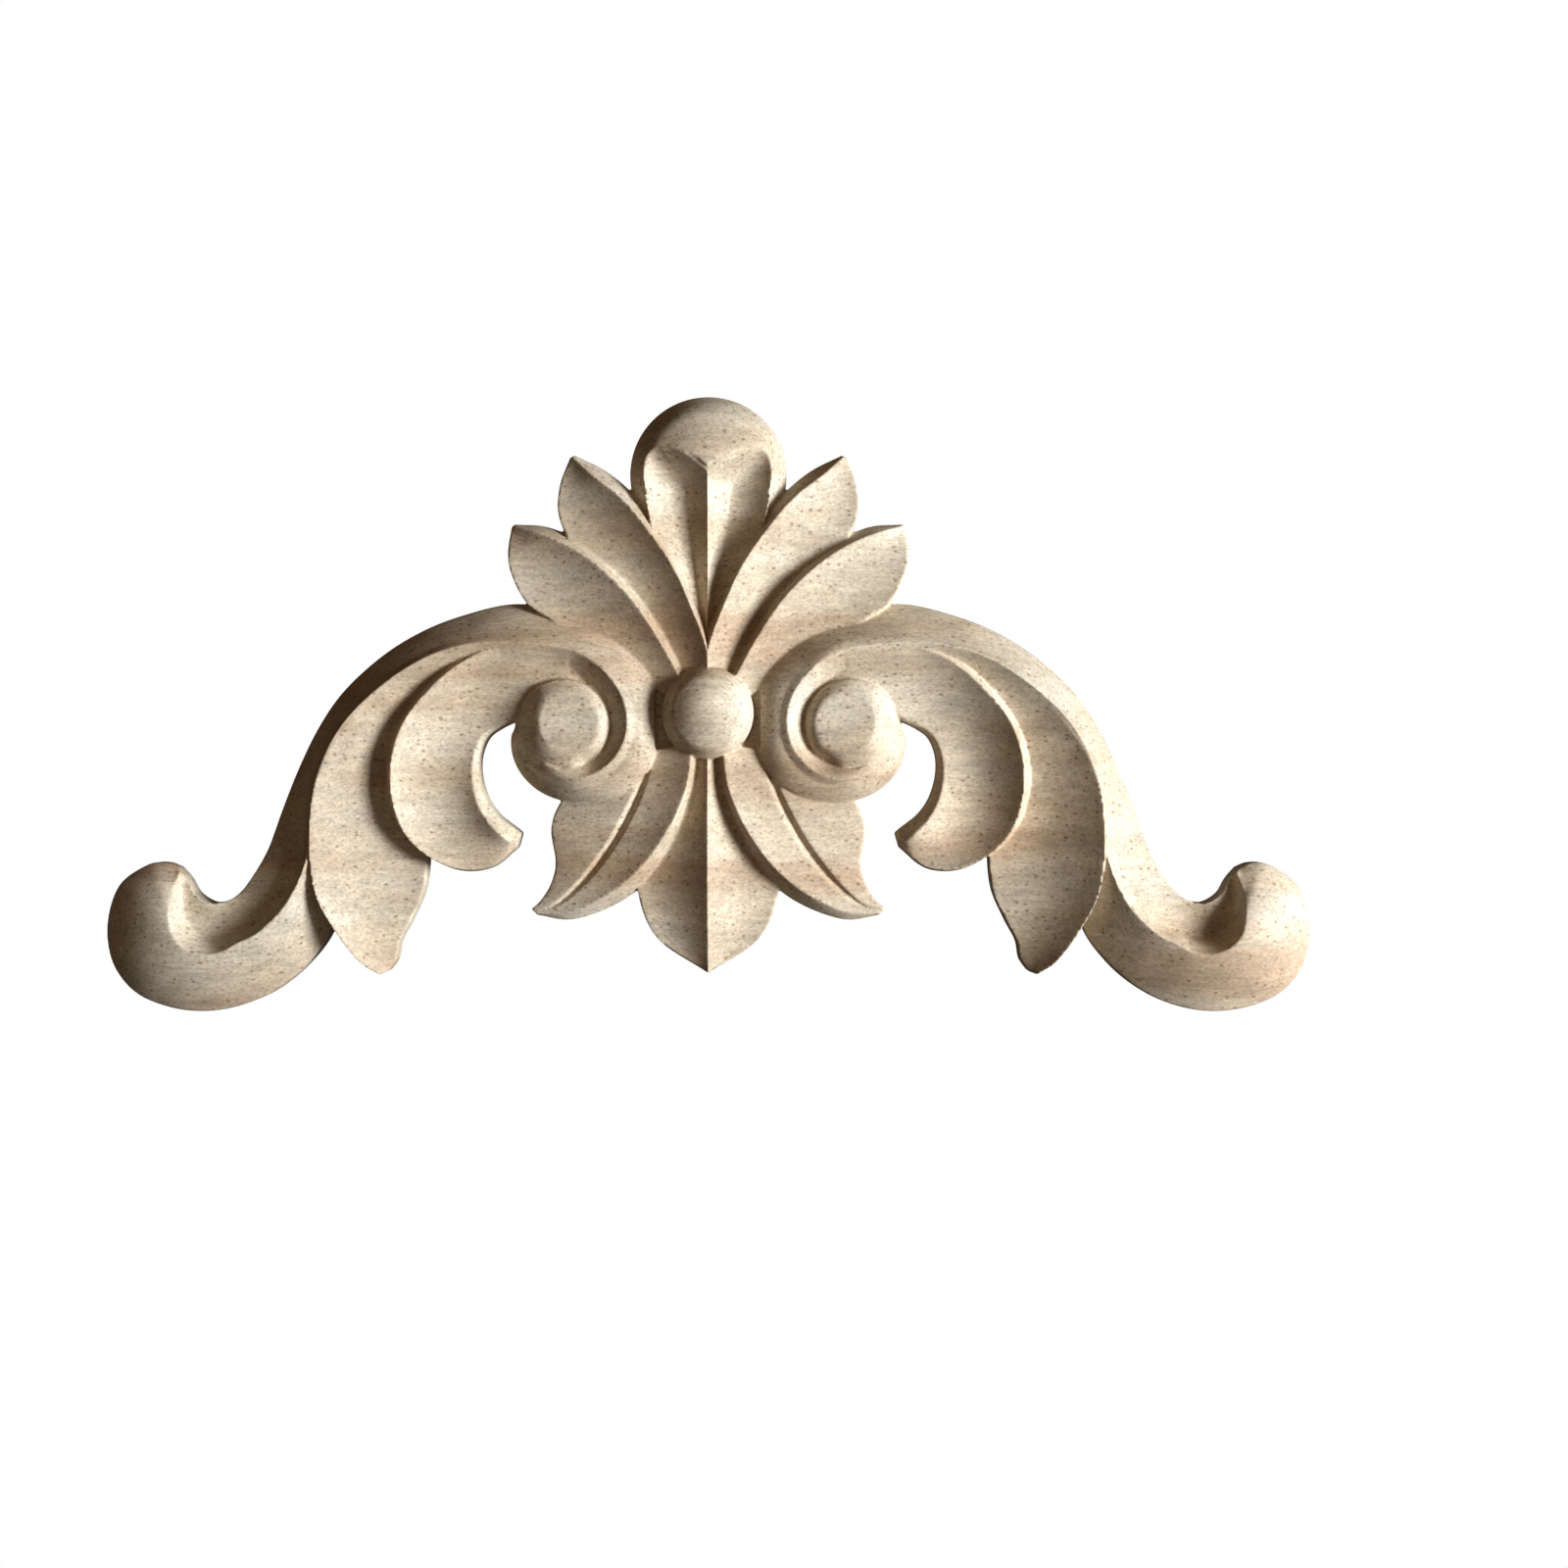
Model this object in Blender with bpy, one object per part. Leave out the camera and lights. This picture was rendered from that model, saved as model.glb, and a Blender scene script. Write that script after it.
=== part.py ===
"""Wooden corner onlay: a spray of leaves between two S-scrolls, carved from one board.

Metres, +Z up. The back is flat in the plane y = 0 and the carving faces -Y. The origin is on
the back, straight behind the ball in the middle. The onlay is the same on both sides, so the
right half is drawn and then mirrored. A point of the drawing is (x, z, height above the back),
in millimetres.
"""

import math

import bmesh
import bpy
from mathutils import Vector

MM = 0.001
BEHIND = 2.0
HALF_WIDTH = 100.0
RIM = 3.6

BALL_RADIUS = 7.6
BALL_TOP = 12.8
BALL_RIM = 6.2
DOME_CENTRE = (0.0, 39.7)
DOME_RADIUS = 13.0
DOME_TOP = 9.8
GROUND_RADIUS = 11.6
GROUND_HEIGHT = 5.4

EYE_CENTRE = (24.0, -2.0)
EYE_RADIUS = 8.2
EYE_RIM = 4.0
EYE_TOP = 9.4
EYE_FLAT = 5.0
EYE_LEAN = 1.0
EYE_MARGIN = 0.2
EYE_LEAN_TURN = 10.0
EYE_SIDES = 32
EYE_SLOPE = [(0.0, 1.0), (0.35, 0.88), (0.7, 0.6), (1.0, 0.0)]
GROOVE_END = 105.0
GROOVE_FADE = 25.0

SPIRAL_START = 8.2
SPIRAL_GROWTH = 11.0
SPIRAL_TURN = 275.0
SPIRAL_POWER = 0.85
SPIRAL_FLAT_X = 8.7
SPIRAL_CORNER = 1.1
CORNER_TURN = 147.0
CORNER_SPREAD = 24.0
VOLUTE_TURNS = [8.0, 263.0]
VOLUTE_STEPS = 24
HOLLOW_CENTRE = (83.1, -34.0)
HOLLOW_RADII = [5.9, 5.3, 5.3, 5.4, 5.5, 5.6, 6.2, 7.3]
HOLLOW_TURNS = [-140.0, 62.0]
CREST_SHOULDER = 1.5
MOST_SHOULDER = 0.6
GROOVE_HALF_WIDTH = 0.9
GROOVE_DEPTH = 1.0
LEAF_WALL = 1.6
MOST_LIP = 0.4
FLUTE_STOCK = 9.5
MERGE = 2e-6

WOOD_COLOUR = (0.74, 0.62, 0.46, 1.0)
WOOD_ROUGHNESS = 0.65


def world(point):
    """Turns a drawing point (x, z, height) into metres."""
    return Vector((point[0] * MM, -point[2] * MM, point[1] * MM))


def graded(values, count):
    """Spreads a few values evenly over a number of stations."""
    read = []
    for station in range(count):
        place = station / (count - 1) * (len(values) - 1)
        low = min(int(place), len(values) - 2)
        read.append(values[low] + (values[low + 1] - values[low]) * (place - low))
    return read


def smooth(points, steps):
    """Reads a Catmull-Rom curve through the points, with so many steps from each to the next."""
    line = [Vector(point) for point in points]
    line = [2 * line[0] - line[1], *line, 2 * line[-1] - line[-2]]
    read = []
    for a, b, c, d in zip(line, line[1:], line[2:], line[3:]):
        for step in range(steps):
            t = step / steps
            bend = 2 * a - 5 * b + 4 * c - d
            twist = 3 * b - a - 3 * c + d
            read.append((2 * b + (c - a) * t + bend * t**2 + twist * t**3) / 2)
    read.append(line[-2])
    return read


def rail(points, heights, steps):
    """A rail through plan points, with heights spread evenly along it."""
    plan = smooth(points, steps)
    return [Vector((x, z, h)) for (x, z), h in zip(plan, graded(heights, len(plan)))]


def new_object(name, bm, collection):
    """Makes an object of a finished bmesh, with its faces turned outwards."""
    bmesh.ops.remove_doubles(bm, verts=bm.verts, dist=1e-7)
    bmesh.ops.recalc_face_normals(bm, faces=bm.faces)
    mesh = bpy.data.meshes.new(name)
    bm.to_mesh(mesh)
    bm.free()
    made = bpy.data.objects.new(name, mesh)
    collection.objects.link(made)
    return made


def rib_points(rib, sags, columns):
    """Points across one rib; a sag is the rise of its middle as a share of the width."""
    across = []
    for near, far, sag, count in zip(rib, rib[1:], sags, columns):
        width = (far.xy - near.xy).length
        for column in range(count):
            u = column / count
            point = near.lerp(far, u)
            point.z += sag * width * 4 * u * (1 - u)
            across.append(point)
    across.append(rib[-1].copy())
    return across


def loft(name, rails, sags, columns, collection, end_height=-BEHIND):
    """A closed form over rails that run side by side, its sides running on to end_height."""
    count = len(rails[0])
    sag_rows = zip(*[graded(sag, count) for sag in sags])
    bm = bmesh.new()
    rings = []
    for rib, sag_row in zip(zip(*rails), sag_rows):
        across = rib_points(rib, sag_row, columns)
        near_foot = Vector((across[0].x, across[0].y, end_height))
        far_foot = Vector((across[-1].x, across[-1].y, end_height))
        rings.append([bm.verts.new(world(p)) for p in [near_foot, *across, far_foot]])
    for ring, after in zip(rings, rings[1:]):
        for k in range(len(ring)):
            following = (k + 1) % len(ring)
            bm.faces.new((ring[k], ring[following], after[following], after[k]))
    bm.faces.new(rings[0])
    bm.faces.new(rings[-1])
    return new_object(name, bm, collection)


def turned(name, centre, radius, rim, top, collection, sides, rings):
    """A round boss: an upright wall from behind the back to the rim, then a domed top."""
    bm = bmesh.new()
    profile = [(0.0, -BEHIND), (radius, -BEHIND)]
    for ring in range(rings):
        turn = math.pi / 2 * ring / rings
        profile.append((radius * math.cos(turn), rim + (top - rim) * math.sin(turn)))
    profile.append((0.0, top))
    line = [bm.verts.new(world((centre[0] + r, centre[1], h))) for r, h in profile]
    edges = [bm.edges.new(pair) for pair in zip(line, line[1:])]
    bmesh.ops.spin(
        bm,
        geom=line + edges,
        cent=world((*centre, 0.0)),
        axis=(0, 1, 0),
        angle=2 * math.pi,
        steps=sides,
        use_merge=True,
    )
    return new_object(name, bm, collection)


def spiral_reach(degrees):
    """How far the spiral has grown from the eye's centre, with a slight corner beside the ball."""
    corner = SPIRAL_CORNER * math.exp(-(((degrees - CORNER_TURN) / CORNER_SPREAD) ** 2))
    return SPIRAL_START + SPIRAL_GROWTH * (degrees / SPIRAL_TURN) ** SPIRAL_POWER + corner


def spiral_point(degrees, radius, height):
    """A point round the eye of the volute, measured from +x and turning downwards."""
    turn = math.radians(degrees)
    x = EYE_CENTRE[0] + radius * math.cos(turn)
    z = EYE_CENTRE[1] - radius * math.sin(turn)
    return Vector((max(x, SPIRAL_FLAT_X), z, height))


def volute_rails():
    """The scroll's first stretch: outer edge, crest and groove, wound round the eye."""
    turns = graded(VOLUTE_TURNS, VOLUTE_STEPS)
    outer_heights = graded([3.8, 4.0, 4.6, 6.2, 7.8, 8.0, 7.6, 5.8, RIM], VOLUTE_STEPS)
    crest_heights = graded([4.6, 6.0, 7.8, 9.3, 9.9, 10.2, 10.3, 10.2, 9.7], VOLUTE_STEPS)
    groove_heights = graded([5.2, 6.6, 8.4, 8.6, 7.0, 6.6, 6.6, 6.6, 7.2], VOLUTE_STEPS)
    crest_radii = graded([7.0, 7.6, 8.2, 9.2, 10.0, 10.7, 11.0, 11.3, 12.4], VOLUTE_STEPS)
    groove_radii = graded([5.6, 6.4, 7.0, 7.5, 7.6, 7.6, 7.6, 8.0, 9.6], VOLUTE_STEPS)
    outer, crest, groove = [], [], []
    for step, degrees in enumerate(turns):
        outer.append(spiral_point(degrees, spiral_reach(degrees), outer_heights[step]))
        crest.append(spiral_point(degrees, crest_radii[step], crest_heights[step]))
        groove.append(spiral_point(degrees, groove_radii[step], groove_heights[step]))
    return outer, crest, groove


def arm_rails():
    """The long stretch: over the arch, down the arm, and curled round the hollow of the tail.

    Past the arm, the outer edge is the notch and the inner line is the rim of the bulb.
    """
    outer = [(21.7, 16.6), (27, 17.8), (33, 18.2), (40, 16.6), (47, 14), (54, 9.8), (60.6, 3.8),
             (65, -2.6), (68.4, -9.8), (71, -16.6), (73.2, -22.7), (76.3, -28), (78.5, -30.4)]
    ridge = [(22.5, 10.3), (26, 11), (33, 11.6), (39, 11.2), (44.8, 9.6), (50.7, 6.4),
             (56.6, 1.6), (60.9, -3.6), (64, -10.4), (65.4, -17.6), (66.2, -24), (69.2, -30.6),
             (73.2, -35.6)]
    inner = [(22.8, 7.5), (26, 7.4), (32, 7), (37.5, 7), (42.5, 6), (48, 3.5), (53.5, 0),
             (58, -4.5), (61, -11), (61.5, -18), (60.5, -26), (62.4, -35.3), (66.5, -41.4)]
    bulb = [(72, -46), (78, -48.6), (84, -49.5), (90, -48.7), (95.4, -46.2), (99, -41.4),
            (100, -35), (98, -28.6), (93, -25), (88.8, -25), (86.7, -27.2)]
    arm, hook = len(outer), len(bulb)
    notch_ends = [(80.5, -31.3), (82.3, -31.5), (84, -30.8), (85.4, -29.6), (86.2, -28)]
    notch = graded([Vector(point) for point in notch_ends], hook)
    curl = []
    for turn, radius in zip(graded(HOLLOW_TURNS, hook), graded(HOLLOW_RADII, hook)):
        turn = math.radians(turn)
        curl.append(Vector(HOLLOW_CENTRE) + radius * Vector((math.cos(turn), math.sin(turn))))
    outer_heights = graded([RIM, RIM, RIM, RIM, 4.2, 4.6], arm) + graded([4.6, 4.4, 4.0], hook)
    ridge_heights = graded([9.6, 9.2, 8.9, 8.8, 8.7, 8.4, 8.0], arm)
    ridge_heights += graded([8.1, 8.6, 9.0, 9.0, 7.6, 5.6], hook)
    inner_heights = graded([7.4, 7.2, 6.6, 6.4, 5.6, RIM, RIM], arm)
    inner_heights += graded([RIM, 3.8, 4.0, 3.8, RIM], hook)
    rails = [
        rail(outer + notch, outer_heights, 2),
        rail(ridge + curl, ridge_heights, 2),
        rail(inner + bulb, inner_heights, 2),
    ]
    # The first station is the volute's last one.
    return [line[1:] for line in rails]


def shoulder_rail(outer, crest, heights):
    """The line just outside the crest, where the slope to the outer edge starts."""
    line = []
    for edge, top, height in zip(outer, crest, graded(heights, len(outer))):
        share = min(MOST_SHOULDER, CREST_SHOULDER / (edge - top).length)
        point = top.lerp(edge, share)
        point.z = height
        line.append(point)
    return line


def add_scroll(collection):
    """The S-scroll, from the volute round the eye to the hook of the tail."""
    stretches = [volute_rails(), arm_rails()]
    shoulder_heights = [[5.0, 6.2, 7.8, 9.0, 9.5, 9.8, 9.8, 9.6, 9.2],
                        [9.2, 8.4, 7.8, 7.5, 7.4, 6.8, 5.2, 5.0, 5.2, 5.4, 5.2, 4.8]]
    outer, shoulder, crest, inner = [], [], [], []
    for (edge, top, inside), heights in zip(stretches, shoulder_heights):
        outer += edge
        crest += top
        inner += inside
        shoulder += shoulder_rail(edge, top, heights)
    edge_sag = [0.08, 0.10, 0.10, 0.10, 0.05, 0.04, 0.04, 0.02, -0.06, -0.03, -0.03]
    inner_sag = [0, 0, 0, 0, 0, 0, 0, 0, 0.04, 0.08, 0.14, 0.16, 0.16]
    rails = [outer, shoulder, crest, inner]
    return loft("scroll", rails, [edge_sag, [0], inner_sag], (2, 1, 3), collection)


def eye_outline(degrees):
    """The foot of the eye: the scroll's edge as far as the groove's end, then a circle."""
    if degrees <= GROOVE_END:
        return spiral_reach(degrees) - EYE_MARGIN
    fade = max(0.0, 1 - (degrees - GROOVE_END) / GROOVE_FADE)
    return EYE_RADIUS + (spiral_reach(GROOVE_END) - EYE_MARGIN - EYE_RADIUS) * fade**2


def add_eye(collection):
    """The eye of the volute: a plug whose flat top leans towards the ball."""
    bm = bmesh.new()
    rings = [[] for _ in range(len(EYE_SLOPE) + 1)]
    for side in range(EYE_SIDES):
        degrees = 360 * side / EYE_SIDES
        turn = math.radians(degrees)
        spoke = Vector((math.cos(turn), -math.sin(turn)))
        level = EYE_FLAT - EYE_LEAN * math.cos(turn - math.radians(EYE_LEAN_TURN))
        foot = eye_outline(degrees)
        stops = [(level + (foot - level) * down, EYE_RIM + (EYE_TOP - EYE_RIM) * share)
                 for down, share in EYE_SLOPE]
        stops.append((foot, -BEHIND))
        for ring, (reach, height) in zip(rings, stops):
            place = Vector(EYE_CENTRE) + spoke * reach
            ring.append(bm.verts.new(world((*place, height))))
    for ring, below in zip(rings, rings[1:]):
        for side in range(EYE_SIDES):
            after = (side + 1) % EYE_SIDES
            bm.faces.new((ring[side], ring[after], below[after], below[side]))
    bm.faces.new(rings[0])
    bm.faces.new(rings[-1])
    return new_object("eye", bm, collection)


def add_outer_leaf(collection):
    """The long leaf under the arm: its crest is the arm's ridge, and it ends in a free tip."""
    crest = [(43.2, 10.0), (49.6, 6.7), (56.2, 1.3), (61.6, -5.6), (64.6, -13), (65.2, -22),
             (64.3, -29.8), (61.2, -36), (57.6, -41), (54.6, -43.3)]
    inner = [(40, 6), (43.5, 1.5), (46, -6), (46.6, -14), (46.6, -22), (47.2, -28.9),
             (49.4, -34.2), (51.3, -37.8), (51.9, -40.8), (53.2, -42.8)]
    rails = [
        rail(crest, [8.7, 8.6, 8.5, 8.8, 8.8, 8.2, 6.8, 5.0], 2),
        rail(inner, [5.8, 5.2, 4.8, 4.4, 4.0, 3.8, 3.8], 2),
    ]
    return loft("outer_leaf", rails, [[-0.04, -0.05, -0.03]], (4,), collection)


def add_inner_leaf(collection):
    """The curled leaf beside the volute: a high crest, a scoop, and a lip that turns up."""
    crest = [(16.4, 5.4), (18.8, 8.2), (22, 9.9), (26, 10.7), (30.6, 10.9), (36, 10.3),
             (41.5, 7.5), (46, 3.4), (49.6, -1.2), (51.6, -6.5), (52, -12.5), (50.4, -18.8),
             (46.8, -23.1), (41.5, -25.7), (36, -25.4), (31.7, -22)]
    edge = [(18.5, 0), (20, 1.6), (22.3, 2.6), (25, 2.8), (28, 2), (30.4, 0), (32.4, -1.3),
            (34.6, -2.4), (36.7, -4), (37.9, -7), (37.9, -10.5), (36.8, -14.1), (35, -16.7),
            (33.2, -18.2), (32, -19.1), (31.1, -19.9)]
    steps = 2
    crest_rail = rail(crest, [5.4, 7.4, 8.7, 9.4, 9.8, 10.2, 10.2, 9.2, 7.4, 6.0, 5.6], steps)
    edge_rail = rail(edge, [5.0, 6.6, 7.0, 6.6, 5.6, 5.4, 5.8, 6.4, 6.2, 5.2], steps)
    stations = len(crest_rail)
    lip_heights = graded([5.0, 6.7, 7.1, 6.8, 6.4, 6.6, 7.6, 8.8, 8.6, 6.2], stations)
    lip_widths = graded([0.4, 0.4, 0.5, 0.6, 0.7, 0.9, 1.4, 2.0, 2.2], stations)
    wall_heights = graded([4.8, 6.8, 7.6, 6.6, 5.2, 4.4, 3.8, RIM, RIM], stations)
    wall_widths = graded([LEAF_WALL] * 7 + [0.4, 0.4, 0.3], stations)
    lip_rail, wall_rail = [], []
    for n, (top, end) in enumerate(zip(crest_rail, edge_rail)):
        across = top.xy - end.xy
        lip = end.xy + across * min(MOST_LIP, lip_widths[n] / across.length)
        foot = top.xy + across.normalized() * wall_widths[n]
        lip_rail.append(Vector((*lip, lip_heights[n])))
        wall_rail.append(Vector((*foot, wall_heights[n])))
    rails = [wall_rail, crest_rail, lip_rail, edge_rail]
    sags = [[0], [-0.02, -0.05, -0.08, -0.10, -0.14, -0.10], [0.08]]
    return loft("inner_leaf", rails, sags, (1, 5, 2), collection)


def add_upper_leaves(collection):
    """The two pointed leaves beside the fluted top: a crest above, and a scoop falling outwards."""
    high = [
        rail([(-0.8, 6), (-0.4, 11.6), (1.4, 16.6), (4.2, 22.5), (8.7, 31), (12.6, 36.6),
              (17.1, 40.4), (22.3, 43)], [8.4, 7.4, 6.4, 6.2, 5.6, 3.8, RIM, RIM], 2),
        rail([(-0.5, 5), (0.1, 10.6), (2.5, 17.2), (5.8, 24.4), (10.8, 31.5), (14.8, 36),
              (19, 39.3), (22.6, 42.7)], [9.6, 9.6, 9.5, 9.4, 9.0, 8.2, 7.0, 4.4], 2),
        rail([(2.4, 3), (5, 8), (9.6, 14.6), (16, 22), (22.4, 28), (24.8, 33), (24.6, 38),
              (23, 42.5)], [7.2, 6.6, 5.9, 5.2, 4.6, 4.2, 4.0, 3.9], 2),
    ]
    low = [
        rail([(3.5, 7), (8.2, 15.6), (13, 21.7), (17, 25.4), (21.4, 28.8), (26.9, 31.1),
              (32.3, 31.5)], [4.6, 4.8, 4.6, 4.2, 3.8, RIM, RIM], 2),
        rail([(4.6, 6), (8.5, 13), (13.2, 19.6), (18.1, 24.3), (23, 27.6), (27.7, 29.7),
              (32.4, 31.2)], [9.2, 9.4, 9.2, 8.6, 7.8, 6.6, 4.4], 2),
        rail([(9.5, 5.4), (17.4, 10.6), (25, 15), (29.7, 18), (32.3, 22.4), (33.2, 26.4),
              (32.7, 31)], [6.6, 5.8, 5.2, 4.6, 4.2, 4.0, 3.9], 2),
    ]
    loft("high_leaf", high, [[0], [-0.10, -0.13, -0.12]], (1, 4), collection)
    loft("low_leaf", low, [[0], [-0.10, -0.13, -0.12]], (1, 4), collection)


def add_side_leaf(collection):
    """The lower side leaf: a high inner crest, and a narrow groove for its midrib."""
    wall = rail([(0.9, -5), (1.3, -10), (2.6, -15.5), (5.2, -21.5), (9.2, -27), (15, -31.5),
                 (22.5, -34.2), (28.4, -33.5)], [4.6, 4.6, 4.4, 4.0, RIM, RIM, RIM], 2)
    crest = rail([(2.6, -5), (2.9, -10), (4.3, -15), (7.2, -20.5), (11.2, -25.7), (16.4, -29.9),
                  (22.8, -32.9), (28.6, -33.2)], [9.2, 9.2, 9.0, 8.4, 7.4, 6.2, 4.8, 4.2], 2)
    rib = rail([(9, -6), (10.6, -11), (12.9, -16.3), (15.7, -21.3), (18.8, -25.6), (22.2, -29.3),
                (25.6, -31.9), (29, -32.9)], [6.3, 6.9, 6.9, 6.4, 5.8, 5.2, 4.5, 4.0], 2)
    edge = rail([(15, -5), (20, -10.5), (24.2, -14.4), (26, -19), (25.3, -24.6), (26.1, -28.2),
                 (27.8, -31), (29.4, -32.5)], [6.0, 5.5, 5.2, 4.9, 4.5, 4.2, 3.9], 2)
    near, floor, far = [], [], []
    groove = graded([0.4, 0.8, 1.0, 1.0, 1.0, 0.8, 0.5, 0.1], len(rib))
    for top, middle, end, share in zip(crest, rib, edge, groove):
        side = (end.xy - top.xy).normalized() * GROOVE_HALF_WIDTH * share
        near.append(Vector((*(middle.xy - side), middle.z)))
        far.append(Vector((*(middle.xy + side), middle.z)))
        floor.append(Vector((*middle.xy, middle.z - GROOVE_DEPTH * share)))
    rails = [wall, crest, near, floor, far, edge]
    sags = [[0], [-0.03], [0], [0], [0.01]]
    return loft("side_leaf", rails, sags, (1, 3, 1, 1, 2), collection)


def add_middle_leaf(collection):
    """The right half of the lowest leaf, and a strip past the middle for the mirror to trim."""
    ridge = [(0, -4), (0, -14), (0, -24), (0, -32), (0, -38), (0, -43)]
    edge = [(2, -4), (6, -14), (11, -23), (11.6, -30), (8.4, -37.4), (0.1, -43.1)]
    ridge_heights = [8.8, 8.6, 8.2, 7.4, 6.2, 4.6]
    beyond = [(-1, z) for x, z in ridge]
    rails = [
        rail(beyond, ridge_heights, 3),
        rail(ridge, ridge_heights, 3),
        rail(edge, [5.4, 5.0, 4.6, 4.2, 4.0, 3.8], 3),
    ]
    return loft("middle_leaf", rails, [[0], [-0.08]], (1, 4), collection)


def flute_rails():
    """The right flute of the fluted top, from its foot above the ball to its scooped end."""
    ridge = [(0, 10), (0, 20), (0, 29), (0, 35), (0, 39), (0, 40.8), (3.6, 42.8), (7.4, 44.6)]
    valley = [(0.2, 10), (1.4, 20), (2.6, 28), (3.4, 33), (3.9, 36.6), (4.4, 38.6), (6.0, 41.4),
              (8.0, 44.2)]
    side = [(0.6, 10), (4.4, 20.4), (8.8, 29), (10.6, 34), (11.1, 38), (11, 40.4), (10.4, 42.8),
            (8.8, 44.4)]
    return [
        rail(ridge, [7.4, 7.4, 7.3, 7.4, 7.9, 8.9, 9.3, 9.0], 3),
        rail(valley, [6.6, 5.8, 5.1, 4.8, 4.8, 5.2, 7.0, 8.6], 3),
        rail(side, [7.8, 7.8, 7.8, 7.6, 7.4, 7.3, 7.4, 8.4], 3),
    ]


def add_fluted_top(collection, cutters):
    """The domed top and the wedge below it, with one flute scooped out of both."""
    ridge, valley, side = flute_rails()
    beyond = [Vector((point.x - 1, point.y, point.z)) for point in ridge]
    scoop_rails = [beyond, ridge, valley, side]
    scoop_sags = [[0], [-0.05], [-0.10]]
    scoop = loft("flute_scoop", scoop_rails, scoop_sags, (1, 3, 3), cutters, end_height=30.0)
    foot = [(-1.5, 11), (-1.5, 20), (-1.5, 30), (-1.5, 36)]
    flank = [(0.3, 11), (3.8, 20), (8.9, 30.1), (10.4, 36)]
    wedge_rails = [rail(foot, [FLUTE_STOCK] * 2, 2), rail(flank, [FLUTE_STOCK] * 2, 2)]
    wedge = loft("flute_wedge", wedge_rails, [[0]], (1,), cutters)
    dome = turned("dome", DOME_CENTRE, DOME_RADIUS, RIM, DOME_TOP, collection, sides=40, rings=5)
    add_boolean(dome, "flute_wedge", "UNION", wedge)
    add_boolean(dome, "flute_scoop", "DIFFERENCE", scoop)


def wood_material():
    """Pale sanded hardwood, unfinished."""
    material = bpy.data.materials.new("wood")
    material.use_nodes = True
    shader = material.node_tree.nodes["Principled BSDF"]
    shader.inputs["Base Color"].default_value = WOOD_COLOUR
    shader.inputs["Roughness"].default_value = WOOD_ROUGHNESS
    shader.inputs["Metallic"].default_value = 0.0
    return material


def add_block_cutter(name, low, high, cutters):
    """A block between two corners in millimetres, for cutting the forms off flat."""
    bm = bmesh.new()
    bmesh.ops.create_cube(bm, size=1.0)
    low, high = Vector(low) * MM, Vector(high) * MM
    bmesh.ops.scale(bm, vec=high - low, verts=bm.verts)
    bmesh.ops.translate(bm, vec=(low + high) / 2, verts=bm.verts)
    return new_object(name, bm, cutters)


def add_boolean(target, name, operation, other):
    """Adds one Boolean step with an object or a collection of them."""
    step = target.modifiers.new(name, "BOOLEAN")
    step.operation = operation
    if isinstance(other, bpy.types.Collection):
        step.operand_type = "COLLECTION"
        step.collection = other
    else:
        step.object = other


def mirrored_mesh(half):
    """The mesh of a right half that is cut off flat at x = 0, with its mirror image joined on."""
    graph = bpy.context.evaluated_depsgraph_get()
    mesh = bpy.data.meshes.new_from_object(half.evaluated_get(graph))
    bm = bmesh.new()
    bm.from_mesh(mesh)
    for vertex in bm.verts:
        if abs(vertex.co.x) < MERGE:
            vertex.co.x = 0.0
    bmesh.ops.remove_doubles(bm, verts=bm.verts, dist=MERGE)
    bmesh.ops.dissolve_degenerate(bm, edges=bm.edges, dist=MERGE)
    middle = [face for face in bm.faces if all(vertex.co.x == 0.0 for vertex in face.verts)]
    bmesh.ops.delete(bm, geom=middle, context="FACES")
    bmesh.ops.triangulate(bm, faces=bm.faces)
    copied = bmesh.ops.duplicate(bm, geom=[*bm.verts, *bm.edges, *bm.faces])["geom"]
    bmesh.ops.scale(bm, vec=(-1, 1, 1), verts=[g for g in copied if isinstance(g, bmesh.types.BMVert)])
    seam = [vertex for vertex in bm.verts if vertex.co.x == 0.0]
    bmesh.ops.remove_doubles(bm, verts=seam, dist=MERGE)
    bmesh.ops.recalc_face_normals(bm, faces=bm.faces)
    bm.to_mesh(mesh)
    bm.free()
    return mesh


def main():
    for old in list(bpy.data.objects):
        bpy.data.objects.remove(old)
    onlay = bpy.data.collections.new("corner_onlay")
    forms = bpy.data.collections.new("carved_forms")
    cutters = bpy.data.collections.new("cutters")
    for collection in (onlay, forms, cutters):
        bpy.context.scene.collection.children.link(collection)

    carving = add_scroll(onlay)
    carving.name = "carved_onlay"
    add_outer_leaf(forms)
    add_inner_leaf(forms)
    add_upper_leaves(forms)
    add_side_leaf(forms)
    add_middle_leaf(forms)
    add_fluted_top(forms, cutters)
    add_eye(forms)
    turned("ball", (0.0, 0.0), BALL_RADIUS, BALL_RIM, BALL_TOP, forms, sides=36, rings=6)
    turned("ground", (0.0, 0.0), GROUND_RADIUS, GROUND_HEIGHT, GROUND_HEIGHT, forms, sides=24, rings=1)
    reach = 1.5 * HALF_WIDTH
    behind = add_block_cutter("behind", (-reach, 0, -reach), (reach, 10, reach), cutters)
    left = add_block_cutter("left_half", (-reach, -30, -reach), (0, 30, reach), cutters)

    for helper in [*forms.objects, *cutters.objects]:
        helper.hide_render = True
        helper.display_type = "WIRE"

    add_boolean(carving, "carved_forms", "UNION", forms)
    add_boolean(carving, "flat_back", "DIFFERENCE", behind)
    add_boolean(carving, "right_half", "DIFFERENCE", left)
    whole = mirrored_mesh(carving)
    carving.modifiers.clear()
    carving.data = whole
    whole.materials.clear()
    whole.materials.append(wood_material())


main()
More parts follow.
